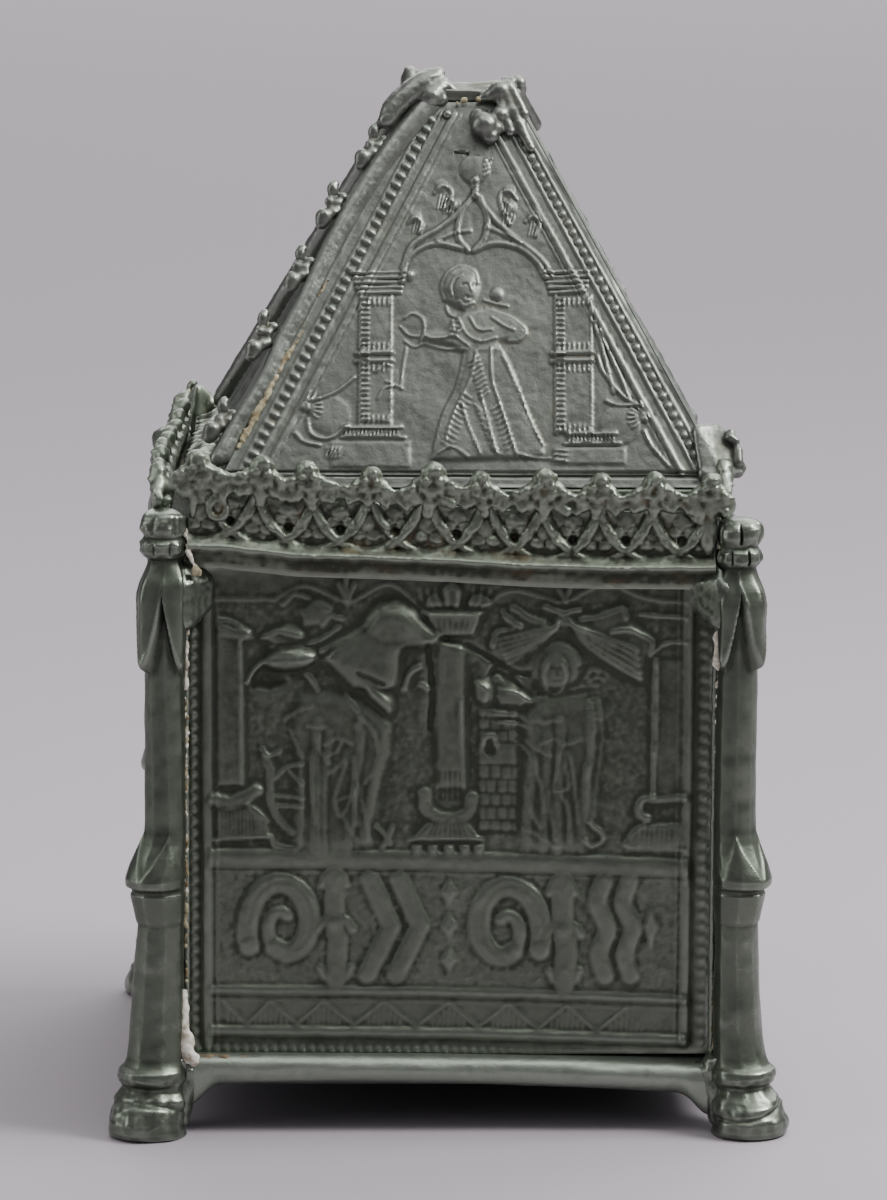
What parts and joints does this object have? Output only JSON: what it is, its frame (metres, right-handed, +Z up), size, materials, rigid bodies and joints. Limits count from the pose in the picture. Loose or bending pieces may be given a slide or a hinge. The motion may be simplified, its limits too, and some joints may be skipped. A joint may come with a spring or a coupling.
{
  "type": "chrismatory",
  "caption": "Square cast pewter box for church oils on moulded feet, with relief panels, corner posts and a steep lift-off roof lid with openwork cresting.",
  "frame": {"origin": "on the ground below the middle of the four corner posts", "axes": "+Z up, -Y is the front with the figure relief, +X to the right seen from the front"},
  "size_m": [0.109, 0.109, 0.1694],
  "materials": {
    "pewter_post": "handled grey-green pewter, satin",
    "pewter_panel": "dark patinated pewter, satin",
    "pewter_crest": "rough cast pewter with dirt in its hollows",
    "pewter_roof": "lighter worn pewter, dull"
  },
  "bodies": {
    "root": {"post_front_left": "pewter_post", "post_front_right": "pewter_post", "post_back_right": "pewter_post", "post_back_left": "pewter_post", "base_rail_front": "pewter_post", "base_rail_right": "pewter_post", "base_rail_back": "pewter_post", "base_rail_left": "pewter_post", "side_panel_front": "pewter_panel", "side_panel_right": "pewter_panel", "side_panel_back": "pewter_panel", "side_panel_left": "pewter_panel", "floor_plate": "pewter_panel", "crest_strip_front": "pewter_crest", "crest_strip_right": "pewter_crest", "crest_strip_back": "pewter_crest", "crest_strip_left": "pewter_crest", "roof_plate_front": "pewter_roof", "roof_plate_right": "pewter_roof", "roof_plate_back": "pewter_roof", "roof_plate_left": "pewter_roof", "roof_top_plate": "pewter_roof", "hip_roll_front_left": "pewter_roof", "hip_roll_back_left": "pewter_roof", "hip_remnant_front_top": "pewter_roof", "hip_remnant_front_foot": "pewter_roof", "hip_remnant_back_top": "pewter_roof"}
  },
  "joints": []
}
